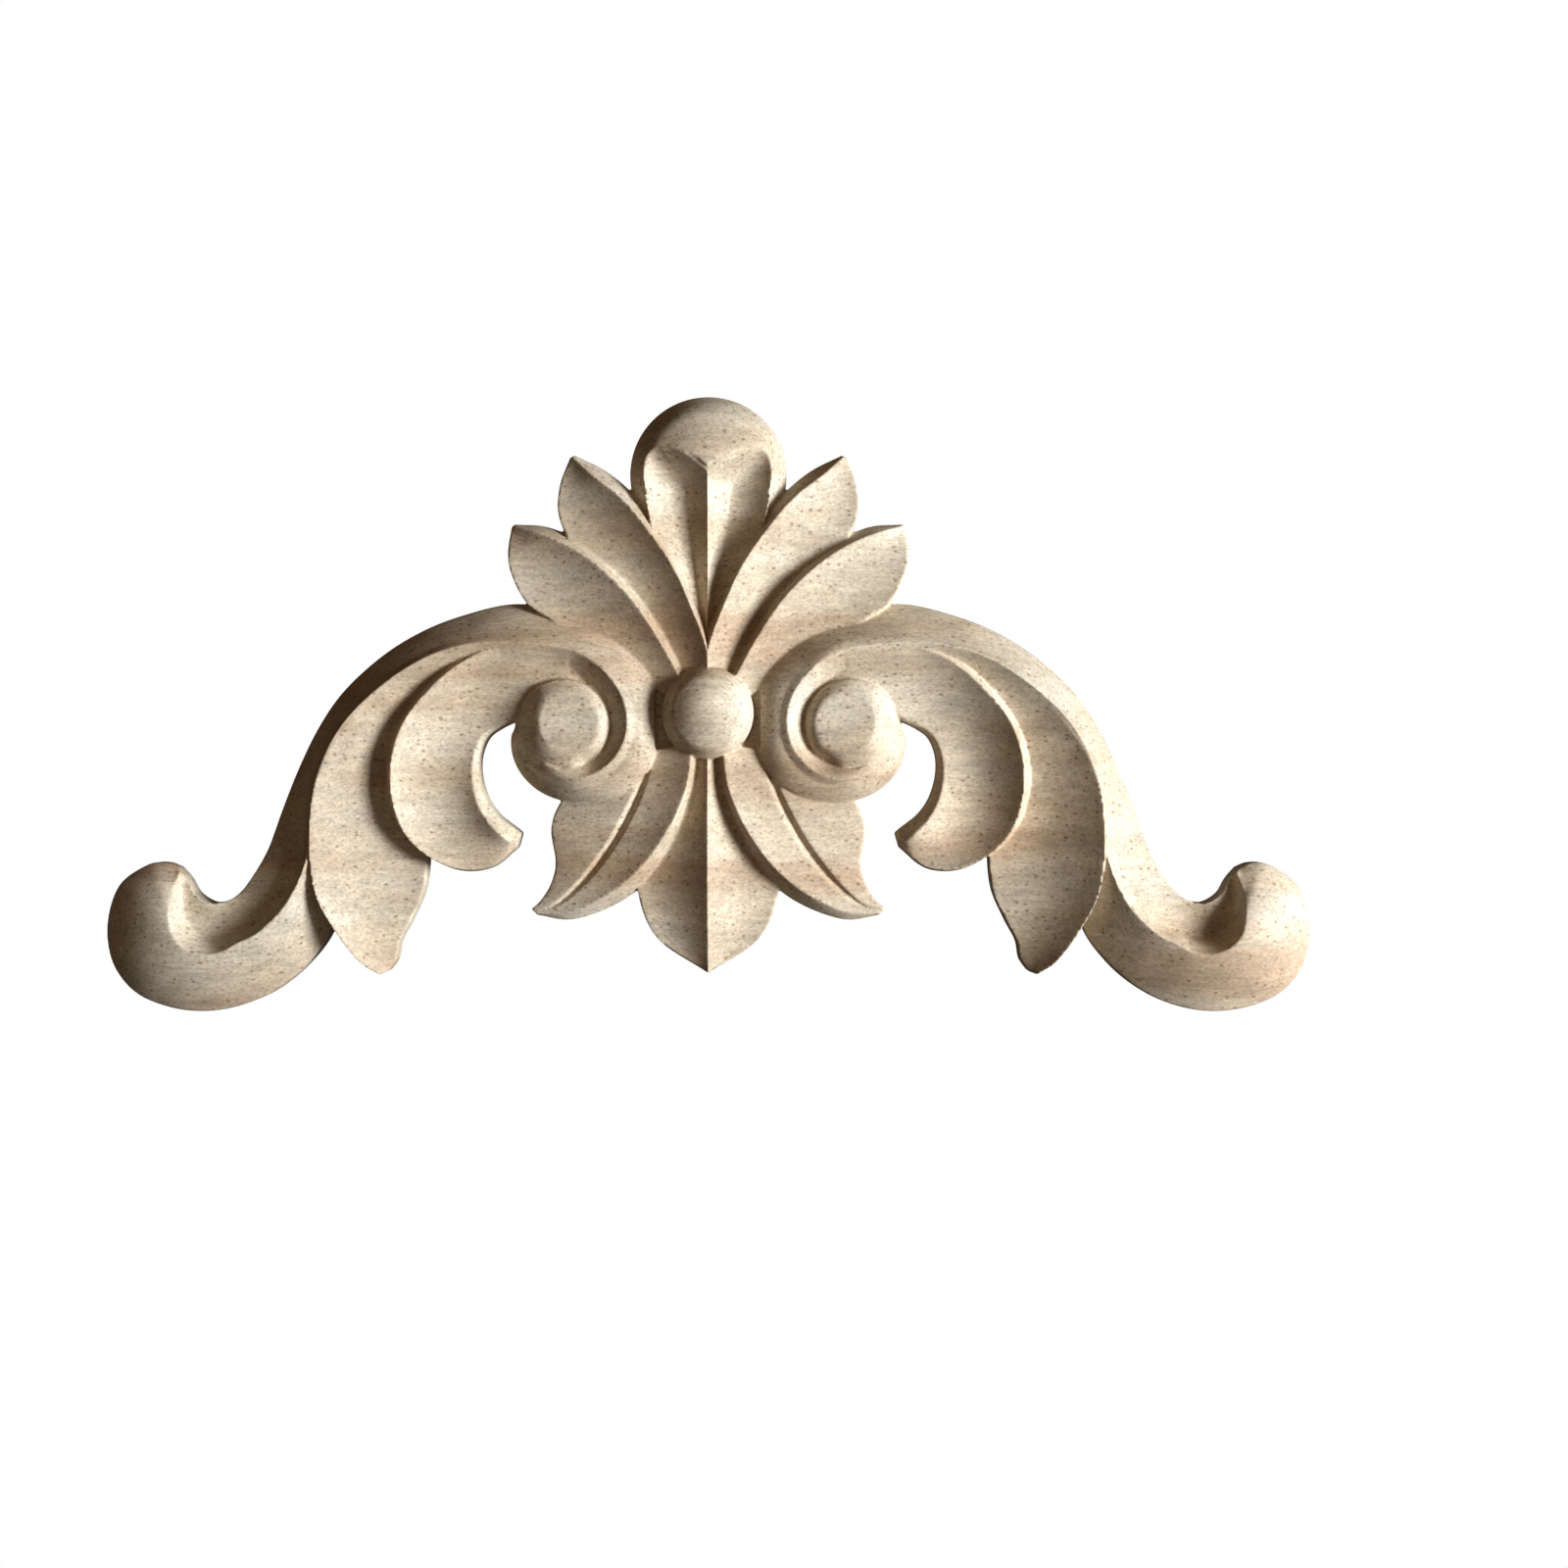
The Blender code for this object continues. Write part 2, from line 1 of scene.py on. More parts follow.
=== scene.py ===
# %% [markdown]
# # A carved wooden onlay
# This lesson dresses one part: a wooden appliqué that is glued to a furniture front.
# The imported solid is loaded first and never changes. It gives the size and the place of the
# carving.

# %% Load the frame
import math

import bmesh
import bpy
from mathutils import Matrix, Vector

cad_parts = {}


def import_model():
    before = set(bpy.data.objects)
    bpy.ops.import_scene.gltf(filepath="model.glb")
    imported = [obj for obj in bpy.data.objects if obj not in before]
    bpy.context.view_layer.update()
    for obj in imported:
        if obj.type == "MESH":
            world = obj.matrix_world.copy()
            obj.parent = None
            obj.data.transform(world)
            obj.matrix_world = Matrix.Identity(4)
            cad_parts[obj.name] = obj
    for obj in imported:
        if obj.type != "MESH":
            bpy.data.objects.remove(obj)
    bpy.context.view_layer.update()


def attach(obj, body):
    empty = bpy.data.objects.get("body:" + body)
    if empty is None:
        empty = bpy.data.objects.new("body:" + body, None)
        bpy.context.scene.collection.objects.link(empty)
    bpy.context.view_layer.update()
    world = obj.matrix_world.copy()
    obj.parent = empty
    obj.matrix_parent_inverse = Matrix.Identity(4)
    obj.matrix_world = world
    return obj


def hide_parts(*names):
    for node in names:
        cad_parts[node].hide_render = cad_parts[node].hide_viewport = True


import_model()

NODE = "carved_onlay"

# %% [markdown]
# ## Drawing on the board
# A carver draws on the face of the board and thinks of depth as height above its back.
# A point is written the same way here, as (x, z, height) in millimetres. One function turns it
# into Blender's metres, with the carving facing -Y. Everything is drawn for the right half.

# %% Points and curves
MM = 0.001
BEHIND = 1.6  # how far a block reaches behind the board before its back is cut flat
RIM = 3.6  # the board's height at the outer edge
FINE = 8  # stations between two points of a rail


def world(point):
    """Turns a drawing point (x, z, height) into metres."""
    return Vector((point[0] * MM, -point[2] * MM, point[1] * MM))


def curve_point(line, place):
    """A Catmull-Rom curve through the listed points or numbers, read at a fractional index."""
    low = min(int(place), len(line) - 2)
    t = place - low
    b, c = line[low], line[low + 1]
    a = line[low - 1] if low > 0 else 2 * b - c
    d = line[low + 2] if low + 2 < len(line) else 2 * c - b
    bend = 2 * a - 5 * b + 4 * c - d
    twist = 3 * b - a - 3 * c + d
    return (2 * b + (c - a) * t + bend * t**2 + twist * t**3) / 2


def graded(values, count):
    """Spreads a few values evenly and smoothly over a number of stations."""
    values = [values[0], values[-1]] if len(values) == 1 else values
    last = len(values) - 1
    return [curve_point(values, last * station / (count - 1)) for station in range(count)]


def rail(points, heights, steps=FINE):
    """A rail through plan points, with heights spread evenly along it."""
    plan = [Vector(point) for point in points]
    count = (len(points) - 1) * steps + 1
    stations = [curve_point(plan, station / steps) for station in range(count)]
    return [Vector((p.x, p.y, h)) for p, h in zip(stations, graded(heights, count))]


print("a rail of five points has", len(rail([(n, 0) for n in range(5)], [RIM, RIM])), "stations")

# %% [markdown]
# ## Laying a grid over rails
# Every leaf and scroll is a strip of surface between a few long lines: its wall, its crest, its
# groove and its rim. By hand one would add a grid and pull its rows onto those lines. This helper
# does the same. Then it extrudes the border and flattens it behind the board, so that the strip
# becomes a closed block with its carved face in front.

# %% A helper for carved strips
def clean_selection():
    """Leaves edit mode and deselects everything, because an operator acts on all that is selected."""
    if bpy.context.mode != "OBJECT":
        bpy.ops.object.mode_set(mode="OBJECT")
    bpy.ops.object.select_all(action="DESELECT")


def pick(piece):
    """Makes one piece the only selected and active one."""
    clean_selection()
    piece.select_set(True)
    bpy.context.view_layer.objects.active = piece


def close_block(depth):
    """Extrudes the open border of the active mesh, flattens it at a depth and fills it."""
    bpy.ops.object.mode_set(mode="EDIT")
    bpy.ops.mesh.select_all(action="SELECT")
    bpy.ops.mesh.region_to_loop()
    bpy.ops.mesh.extrude_edges_move()
    bpy.ops.transform.resize(value=(1, 0, 1), center_override=(0, depth * MM, 0))
    bpy.ops.mesh.edge_face_add()
    bpy.ops.mesh.select_all(action="SELECT")
    bpy.ops.mesh.normals_make_consistent(inside=False)
    bpy.ops.object.mode_set(mode="OBJECT")


def rib_points(rib, sags, columns):
    """Points across one rib; a sag is the rise of its middle as a share of the width."""
    across = []
    for near, far, sag, count in zip(rib, rib[1:], sags, columns):
        width = (far.xy - near.xy).length
        for column in range(count):
            u = column / count
            point = near.lerp(far, u)
            point.z += sag * width * 4 * u * (1 - u)
            across.append(point)
    return [*across, rib[-1]]


def lay_grid(name, rails, sags, columns):
    """Adds a grid and pulls it over rails that run side by side."""
    stations = len(rails[0])
    sag_rows = list(zip(*[graded(sag, stations) for sag in sags]))
    rows = [rib_points(rib, sag, columns) for rib, sag in zip(zip(*rails), sag_rows)]
    clean_selection()
    bpy.ops.mesh.primitive_grid_add(
        x_subdivisions=len(rows[0]) - 1, y_subdivisions=stations - 1, size=2 * MM
    )
    piece = bpy.context.object
    piece.name = name
    places = [world(point) for row in rows for point in row]
    for vertex, place in zip(piece.data.vertices, places):
        vertex.co = place
    return piece


def carved_strip(name, rails, sags, columns):
    """One carved form, closed behind the board."""
    piece = lay_grid(name, rails, sags, columns)
    close_block(BEHIND)
    print(name, "has", len(piece.data.polygons), "faces")
    return piece


# %% [markdown]
# ## Round bosses
# The ball, the eyes of the scrolls and the domed top are turned shapes. Each starts as a sphere
# with its poles along Y. Its front half is drawn out to the boss's height, and its back half is
# pressed flat behind the board.

# %% A helper for bosses
BOSS_SIDES = 96
NEAR_RIM = 0.001


def boss(name, centre, outline, rim, top, slope, flat=None):
    """A sphere shaped into an upright wall, a slope above it and perhaps a flat top.

    The outline, the flat top's edge and the slope are given by the angle from +x turning
    downwards. A slope is a list of heights from its top to the rim, as shares of its rise.
    """
    clean_selection()
    bpy.ops.mesh.primitive_uv_sphere_add(
        segments=BOSS_SIDES,
        ring_count=BOSS_SIDES,
        radius=MM,
        location=(0, 0, 0),
        rotation=(math.radians(90), 0, 0),
    )
    piece = bpy.context.object
    piece.name = name
    bpy.ops.object.transform_apply(location=True, rotation=True, scale=True)
    for vertex in piece.data.vertices:
        x, lift, z = vertex.co.x / MM, -vertex.co.y / MM, vertex.co.z / MM
        out = min(math.hypot(x, z), 1.0)
        angle = math.degrees(math.atan2(-z, x)) % 360
        reach, height = outline(angle), rim
        if lift > NEAR_RIM:
            level = flat(angle) if flat else 0.0
            down = out if level == 0 else max(0.0, 2 * out - 1)
            reach = level * min(1.0, 2 * out) + (reach - level) * down
            steps = slope(angle)
            height = rim + (top - rim) * curve_point(steps, down * (len(steps) - 1))
        elif lift < -NEAR_RIM:
            reach = reach * out
            height = -BEHIND
        spoke = reach / max(out, 1e-6)
        vertex.co = world((centre[0] + x * spoke, centre[1] + z * spoke, height))
    bpy.ops.object.mode_set(mode="EDIT")
    bpy.ops.mesh.select_all(action="SELECT")
    bpy.ops.mesh.remove_doubles(threshold=1e-7)
    bpy.ops.mesh.normals_make_consistent(inside=False)
    bpy.ops.object.mode_set(mode="OBJECT")
    print(name, "stands", top, "mm high")
    return piece


def all_round(value):
    """An outline or a slope that is the same all round."""
    return lambda angle: value


ROUND_SLOPE = all_round([1.0, 0.975, 0.90, 0.77, 0.56, 0.0])
print("a boss reaches", ROUND_SLOPE(0)[1], "of its rise a fifth of the way down")

# %% [markdown]
# ## The S-scroll
# The scroll is one line from end to end. It winds round the eye as a spiral, passes over the
# arch, runs down the arm, and curls round a hollow into the bulb. Four lines carry it: the outer
# edge, a shoulder just outside the crest, the crest itself and the inner line. The spiral and the
# curl are worked out from radii, so that only the free stretch needs its points listed. Past the
# curl, the outer edge is the notch and the inner line is the rim of the bulb.

# %% The scroll's lines
EYE_CENTRE = Vector((24.0, -2.0))
SPIRAL_FIRST = 8.0
SPIRAL_LAST = 263.0
SPIRAL_START = 8.2
SPIRAL_GROWTH = 11.0
SPIRAL_TURN = 275.0
SPIRAL_POWER = 0.85
SPIRAL_FLAT_X = 8.7
SPIRAL_CORNER = 1.1
CORNER_TURN = 147.0
CORNER_SPREAD = 24.0
HOLLOW_CENTRE = Vector((82.6, -34.0))
HOLLOW_RADII = [6.5, 5.9, 5.6, 5.5, 5.5, 5.6, 6.5, 9.2]
HOLLOW_TURNS = [-142.0, 57.0]
MOST_SHOULDER = 0.6


def spiral_reach(degrees):
    """How far the spiral has grown from the eye's centre at an angle."""
    corner = SPIRAL_CORNER * math.exp(-(((degrees - CORNER_TURN) / CORNER_SPREAD) ** 2))
    return SPIRAL_START + SPIRAL_GROWTH * (degrees / SPIRAL_TURN) ** SPIRAL_POWER + corner


def spiral_point(degrees, radius, height):
    """A point round the eye, measured from +x and turning downwards."""
    turn = math.radians(degrees)
    x = EYE_CENTRE.x + radius * math.cos(turn)
    z = EYE_CENTRE.y - radius * math.sin(turn)
    return Vector((max(x, SPIRAL_FLAT_X), z, height))


def volute_lines(stations=150):
    """Outer edge, crest and groove round the eye."""
    swept = SPIRAL_LAST - SPIRAL_FIRST
    angles = [SPIRAL_FIRST + swept * n / (stations - 1) for n in range(stations)]
    radii = [
        [spiral_reach(angle) for angle in angles],
        graded([7.0, 7.6, 8.2, 9.2, 10.0, 10.7, 11.0, 11.3, 12.4], stations),
        graded([5.6, 6.4, 7.0, 7.5, 7.6, 7.6, 7.6, 8.0, 9.6], stations),
    ]
    heights = [
        graded([3.8, 4.0, 4.6, 6.0, 7.2, 7.2, 6.8, 5.4, RIM], stations),
        graded([4.6, 6.0, 7.8, 9.1, 9.5, 9.7, 9.7, 9.7, 9.6], stations),
        graded([5.2, 6.6, 8.4, 8.6, 7.0, 6.6, 6.6, 6.7, 7.4], stations),
    ]
    return [
        [spiral_point(a, r, h) for a, r, h in zip(angles, radius, height)]
        for radius, height in zip(radii, heights)
    ]


def arm_lines():
    """Outer edge, ridge and inner line over the arch, down the arm and round the hollow."""
    outer = [(21.7, 16.6), (27, 17.8), (33, 18.2), (40, 16.6), (47, 14), (54, 9.8), (60.6, 3.8),
             (65, -2.6), (68.4, -9.8), (71, -16.6), (73.2, -22.7), (76.3, -28), (78.5, -30.4)]
    ridge = [(22.5, 10.3), (26, 11), (33, 11.6), (39, 11.2), (44.8, 9.6), (50.7, 6.4),
             (56.6, 1.6), (60.9, -3.6), (64, -10.4), (65.2, -17.6), (65.8, -24.3), (69, -31.2),
             (73.6, -36)]
    inner = [(22.8, 7.5), (26, 7.4), (32, 7), (37.5, 7), (42.5, 6), (48, 3.5), (53.5, 0),
             (58, -4.5), (61, -11), (61.5, -18), (60.5, -26), (62.4, -35.3), (66.5, -41.4)]
    bulb = [(72, -46), (78, -48.6), (84, -49.5), (90, -48.7), (95.4, -46.2), (99, -41.4),
            (99.9, -35), (98, -28.6), (93.4, -25.2), (90.4, -24.8), (88.2, -25.6)]
    arm, hook = len(outer), len(bulb)
    notch_ends = [(80.5, -31.3), (82.3, -31.5), (84, -30.8), (85.4, -29.6), (86.2, -28.1),
                  (87.1, -26.8)]
    notch = graded([Vector(point) for point in notch_ends], hook)
    curl = []
    for turn, radius in zip(graded(HOLLOW_TURNS, hook), graded(HOLLOW_RADII, hook)):
        turn = math.radians(turn)
        curl.append(HOLLOW_CENTRE + radius * Vector((math.cos(turn), math.sin(turn))))
    outer_heights = graded([RIM, RIM, RIM, RIM, 4.2, 4.6], arm) + graded([4.8, 5.2, 4.8, 4.0], hook)
    ridge_heights = graded([9.6, 9.5, 9.4, 9.4, 9.4, 9.3, 9.2], arm)
    ridge_heights += graded([9.2, 9.2, 9.4, 9.4, 8.6, 5.0], hook)
    inner_heights = graded([7.5, 7.2, 6.6, 6.4, 5.6, RIM, RIM], arm)
    inner_heights += graded([RIM, 3.8, 4.0, 3.8, RIM], hook)
    lines = [
        rail(outer + notch, outer_heights),
        rail(ridge + curl, ridge_heights),
        rail(inner + bulb, inner_heights),
    ]
    # The first station is the volute's last one.
    return [line[1:] for line in lines]


def shoulder_line(outer, crest, heights, widths):
    """The line outside the crest where its steep slope ends."""
    line = []
    count = len(outer)
    for edge, top, height, width in zip(outer, crest, graded(heights, count), graded(widths, count)):
        share = min(MOST_SHOULDER, width / (edge - top).length)
        line.append(Vector((*top.lerp(edge, share).xy, height)))
    return line


# %% Carve the scroll
def carve_scroll():
    """Joins the three stretches of lines and lays one grid over them."""
    stretches = [volute_lines(), arm_lines()]
    shoulder_heights = [
        [5.0, 6.0, 7.2, 8.3, 8.8, 9.0, 9.0, 9.1, 9.2],
        [9.2, 8.6, 8.0, 7.8, 7.6, 6.8, 5.2, 4.8, 4.8, 4.9, 5.0, 4.8],
    ]
    shoulder_widths = [[1.5], [1.5, 1.5, 1.5, 1.5, 1.5, 1.8, 2.6, 3.0, 3.0, 2.6, 1.5]]
    lines = [[], [], [], []]
    for (edge, top, inside), heights, widths in zip(stretches, shoulder_heights, shoulder_widths):
        shoulder = shoulder_line(edge, top, heights, widths)
        for line, stretch in zip(lines, (edge, shoulder, top, inside)):
            line += stretch
    edge_sag = [0.08, 0.10, 0.10, 0.10, 0.05, 0.04, 0.04, 0.02, -0.06, -0.03, -0.03]
    inner_sag = [0, 0, 0, 0, 0, 0, 0, 0, 0, 0.02, 0.08, 0.10, 0.05]
    return carved_strip("scroll", lines, [edge_sag, [0], inner_sag], (12, 4, 16))


forms = [carve_scroll()]

# %% [markdown]
# ## The leaves on the arm
# The long leaf starts at the arm's ridge and falls gently inwards to a free tip. The curled leaf
# lies over it: its crest stands up on a steep wall, its face is scooped, and its lip turns up at
# the end. A wall is a strip of its own, a little wider at its foot than at its top.

# %% Carve the arm's leaves
LEAF_WALL = 1.6


def carve_outer_leaf():
    """The long leaf under the arm."""
    crest = [(43.2, 10.0), (49.6, 6.7), (56.2, 1.3), (61.6, -5.6), (64.6, -13), (65.2, -22),
             (64.3, -29.8), (61.2, -36), (57.6, -41), (54.6, -43.3)]
    inner = [(40, 6), (43.5, 1.5), (46, -6), (46.6, -14), (46.6, -22), (47.2, -28.9),
             (49.4, -34.2), (51.3, -37.8), (51.9, -40.8), (53.2, -42.8)]
    rails = [
        rail(crest, [8.9, 9.0, 9.2, 9.5, 9.5, 8.8, 7.2, 5.0]),
        rail(inner, [6.0, 5.2, 4.6, 4.2, 3.9, 3.8, 3.8]),
    ]
    return carved_strip("outer_leaf", rails, [[-0.05, -0.065, -0.04]], (24,))


def carve_inner_leaf():
    """The curled leaf beside the eye."""
    crest = [(16.4, 5.4), (18.8, 8.2), (22, 9.9), (26, 10.7), (30.6, 10.9), (36, 10.3),
             (41.5, 7.5), (46, 3.4), (49.6, -1.2), (51.6, -6.5), (52, -12.5), (50.4, -18.8),
             (46.8, -23.1), (41.5, -25.7), (36, -25.4), (31.7, -22)]
    edge = [(18.5, 0), (20, 1.6), (22.3, 2.6), (25, 2.8), (28, 2), (30.4, 0), (32.4, -1.3),
            (34.6, -2.4), (36.7, -4), (37.9, -7), (37.9, -10.5), (36.8, -14.1), (35, -16.7),
            (33.2, -18.2), (32, -19.1), (31.1, -19.9)]
    crest_rail = rail(crest, [5.4, 7.4, 8.6, 9.0, 9.1, 9.3, 9.4, 8.8, 7.4, 6.0, 5.6])
    edge_rail = rail(edge, [5.0, 6.6, 6.8, 6.0, 5.0, 4.8, 5.0, 5.6, 5.8, 5.2])
    stations = len(crest_rail)
    lip_heights = graded([5.0, 6.7, 7.0, 6.4, 5.6, 5.6, 6.2, 7.4, 7.6, 6.2], stations)
    foot_heights = graded([4.8, 6.8, 7.6, 6.6, 5.2, 4.4, 3.8, RIM, RIM], stations)
    foot_widths = graded([LEAF_WALL] * 7 + [0.4, 0.4, 0.3], stations)
    lip_widths = graded([0.4, 0.4, 0.5, 0.6, 0.7, 0.9, 1.4, 2.0, 2.2], stations)
    lip_rail, foot_rail = [], []
    for n, (top, end) in enumerate(zip(crest_rail, edge_rail)):
        across = top.xy - end.xy
        lip = end.xy + across * min(0.4, lip_widths[n] / across.length)
        foot = top.xy + across.normalized() * foot_widths[n]
        lip_rail.append(Vector((*lip, lip_heights[n])))
        foot_rail.append(Vector((*foot, foot_heights[n])))
    rails = [foot_rail, crest_rail, lip_rail, edge_rail]
    sags = [[0], [-0.02, -0.05, -0.08, -0.11, -0.14, -0.10], [0.08]]
    return carved_strip("inner_leaf", rails, sags, (5, 24, 5))


forms += [carve_outer_leaf(), carve_inner_leaf()]

# %% [markdown]
# ## The upper leaves
# Two pointed leaves spring from the ball on each side of the fluted top. Each has a crisp crest
# on its upper edge and a scooped face that falls away from it. The lower one stands in front.

# %% Carve the upper leaves
def carve_upper_leaves():
    """Both pointed leaves of the right half."""
    high = [
        rail([(-0.8, 6), (-0.4, 11.6), (1.4, 16.6), (4.2, 22.5), (8.7, 31), (12.6, 36.6),
              (17.1, 40.4), (22.3, 43)], [8.4, 7.4, 6.4, 6.2, 5.6, 3.8, RIM, RIM]),
        rail([(-0.5, 5), (0.1, 10.6), (2.5, 17.2), (5.8, 24.4), (10.8, 31.5), (14.8, 36),
              (19, 39.3), (22.6, 42.7)], [7.8, 9.0, 9.4, 9.2, 8.6, 7.6, 6.4, 4.4]),
        rail([(2.4, 3), (5, 8), (9.6, 14.6), (16, 22), (22.4, 28), (24.8, 33), (24.6, 38),
              (23, 42.5)], [6.4, 6.0, 6.0, 5.8, 5.4, 5.0, 4.4, 3.9]),
    ]
    low = [
        rail([(2.8, 5.6), (8.2, 15.6), (13, 21.7), (17, 25.4), (21.4, 28.8), (26.9, 31.1), (32.3, 31.5)],
             [4.6, 4.8, 4.6, 4.2, 3.8, RIM, RIM]),
        rail([(3.8, 4.6), (8.5, 13), (13.2, 19.6), (18.1, 24.3), (23, 27.6), (27.7, 29.7), (32.4, 31.2)],
             [7.6, 8.8, 8.9, 8.2, 7.3, 6.2, 4.4]),
        rail([(6.8, 2.6), (17.4, 10.6), (25, 15), (29.7, 18), (32.3, 22.4), (33.2, 26.4), (32.7, 31)],
             [6.6, 6.6, 6.5, 6.2, 5.7, 5.0, 3.9]),
    ]
    scooped = [[0], [-0.07, -0.08, -0.07]]
    return [
        carved_strip("high_leaf", high, scooped, (5, 22)),
        carved_strip("low_leaf", low, scooped, (5, 22)),
    ]


forms += carve_upper_leaves()

# %% [markdown]
# ## The lower leaves
# Under the ball hangs a broad leaf with a ridge down its middle. The two side leaves lie over it
# and carry a narrow V groove for a midrib, which starts and ends at nothing.

# %% Carve the lower leaves
GROOVE_HALF_WIDTH = 0.9
GROOVE_DEPTH = 1.0


def carve_side_leaf():
    """The grooved side leaf of the right half."""
    foot = rail([(0.9, -5), (1.3, -10), (2.6, -15.5), (5.2, -21.5), (9.2, -27), (15, -31.5),
                 (22.5, -34.2), (28.4, -33.5)], [4.6, 4.6, 4.4, 4.0, RIM, RIM, RIM])
    crest = rail([(2.6, -5), (2.9, -10), (4.3, -15), (7.2, -20.5), (11.2, -25.7), (16.4, -29.9),
                  (22.8, -32.9), (28.6, -33.2)], [7.8, 8.6, 9.0, 8.6, 7.6, 6.2, 4.8, 4.2])
    rib = rail([(9, -6), (10.6, -11), (12.9, -16.3), (15.7, -21.3), (18.8, -25.6), (22.2, -29.3),
                (25.6, -31.9), (29, -32.9)], [6.3, 6.9, 6.9, 6.4, 5.8, 5.2, 4.5, 4.0])
    edge = rail([(15, -5), (20, -10.5), (24.2, -14.4), (26, -19), (25.3, -24.6), (26.1, -28.2),
                 (27.8, -31), (29.4, -32.5)], [6.0, 5.5, 5.2, 4.9, 4.5, 4.2, 3.9])
    near, floor, far = [], [], []
    shares = graded([0.4, 0.8, 1.0, 1.0, 1.0, 0.8, 0.5, 0.1], len(rib))
    for top, middle, end, share in zip(crest, rib, edge, shares):
        side = (end.xy - top.xy).normalized() * GROOVE_HALF_WIDTH * share
        near.append(Vector((*(middle.xy - side), middle.z)))
        far.append(Vector((*(middle.xy + side), middle.z)))
        floor.append(Vector((*middle.xy, middle.z - GROOVE_DEPTH * share)))
    sags = [[0], [-0.03], [0], [0], [0.01]]
    return carved_strip("side_leaf", [foot, crest, near, floor, far, edge], sags, (5, 14, 3, 3, 14))


def carve_middle_leaf():
    """The right half of the lowest leaf, with a strip past the middle for the mirror to trim."""
    ridge = [(0, -4), (0, -14), (0, -24), (0, -32), (0, -38), (0, -43)]
    edge = [(2, -4), (6, -14), (11, -23), (11.6, -30), (8.4, -37.4), (0.1, -43.1)]
    ridge_heights = [7.4, 8.4, 8.4, 7.6, 6.2, 4.6]
    rails = [
        rail([(-1, z) for x, z in ridge], ridge_heights),
        rail(ridge, ridge_heights),
        rail(edge, [5.4, 5.0, 4.6, 4.2, 4.0, 3.8]),
    ]
    return carved_strip("middle_leaf", rails, [[0], [-0.08]], (2, 24))


forms += [carve_side_leaf(), carve_middle_leaf()]

# %% [markdown]
# ## The fluted top
# The top is a dome with a wedge below it, and two flutes are scooped out of both with a ridge
# between them. The scoop is its own block, so a Boolean takes it away as a gouge would.

# %% Carve the fluted top
FLUTE_STOCK = 9.5
SCOOP_FRONT = -30.0
DOME_CENTRE = (0.0, 39.7)
DOME_RADIUS = 13.0
DOME_TOP = 9.8


def apply_boolean(piece, operation, other):
    """Runs one Boolean step and removes the other block."""
    pick(piece)
    step = piece.modifiers.new(operation.lower(), "BOOLEAN")
    step.operation = operation
    step.object = other
    bpy.ops.object.modifier_apply(modifier=step.name)
    bpy.data.objects.remove(other)


def carve_fluted_top():
    """The dome and the wedge, with the right flute scooped out."""
    ridge = rail([(0, 10), (0, 20), (0, 29), (0, 34.5), (0, 38), (0, 39.6), (3.6, 42.4), (7.4, 44.9)],
                 [7.4, 7.4, 7.3, 7.4, 7.9, 8.9, 9.3, 9.0])
    valley = rail([(0.2, 10), (1.4, 20), (2.6, 28), (3.4, 33), (3.9, 36.6), (4.4, 38.6), (6.0, 41.4),
                   (8.0, 44.2)], [6.6, 5.8, 5.1, 4.8, 4.8, 5.2, 7.0, 8.6])
    side = rail([(0.6, 10), (4.4, 20.4), (8.8, 29), (10.6, 34), (11.1, 38), (11, 40.4),
                 (10.4, 42.8), (8.8, 44.4)], [7.8, 7.8, 7.8, 7.6, 7.4, 7.3, 7.4, 8.4])
    beyond = [Vector((point.x - 1, point.y, point.z)) for point in ridge]
    scoop = lay_grid("scoop", [beyond, ridge, valley, side], [[0], [-0.05], [-0.10]], (2, 10, 16))
    close_block(SCOOP_FRONT)
    wedge_rails = [
        rail([(-1.5, 11), (-1.5, 20), (-1.5, 30), (-1.5, 36)], [FLUTE_STOCK] * 2),
        rail([(0.3, 11), (3.8, 20), (8.9, 30.1), (10.4, 36)], [FLUTE_STOCK] * 2),
    ]
    wedge = carved_strip("wedge", wedge_rails, [[0]], (6,))
    dome = boss("dome", DOME_CENTRE, all_round(DOME_RADIUS), RIM, DOME_TOP, ROUND_SLOPE)
    apply_boolean(dome, "UNION", wedge)
    apply_boolean(dome, "DIFFERENCE", scoop)
    return dome


forms.append(carve_fluted_top())

# %% [markdown]
# ## The ball and its ground
# The ball stands in the middle, where all the leaves and both scrolls meet. The wood left round
# its foot is a thin plate, which fills the small hollows between the roots. It is highest above
# the ball and lies lowest below it.

# %% Carve the ball
MIDDLE = (0.0, 0.0)
BALL_RADIUS = 7.6
BALL_FOOT = 7.6
BALL_TOP = 12.8
GROUND_RADIUS = 11.6
GROUND_RIM = 5.0
GROUND_TOP = 5.8
GROUND_HIGH_SIDE = 315.0


def ground_slope(degrees):
    """The same height from the middle out, with its rim broken, and higher on one side."""
    share = max(0.2, math.cos(math.radians(degrees - GROUND_HIGH_SIDE)))
    return [share] * 5 + [share - 0.1]


forms += [
    boss("ball", MIDDLE, all_round(BALL_RADIUS), BALL_FOOT, BALL_TOP, ROUND_SLOPE),
    boss("ground", MIDDLE, all_round(GROUND_RADIUS), GROUND_RIM, GROUND_TOP, ground_slope),
]

# %% [markdown]
# ## The eye of the scroll
# The eye is a low plug with a flat top. The top lies nearer to the ball than the middle of the
# plug does, so the slope is steep beside the groove and broad on the open side, where it runs
# down to the edge of the scroll.

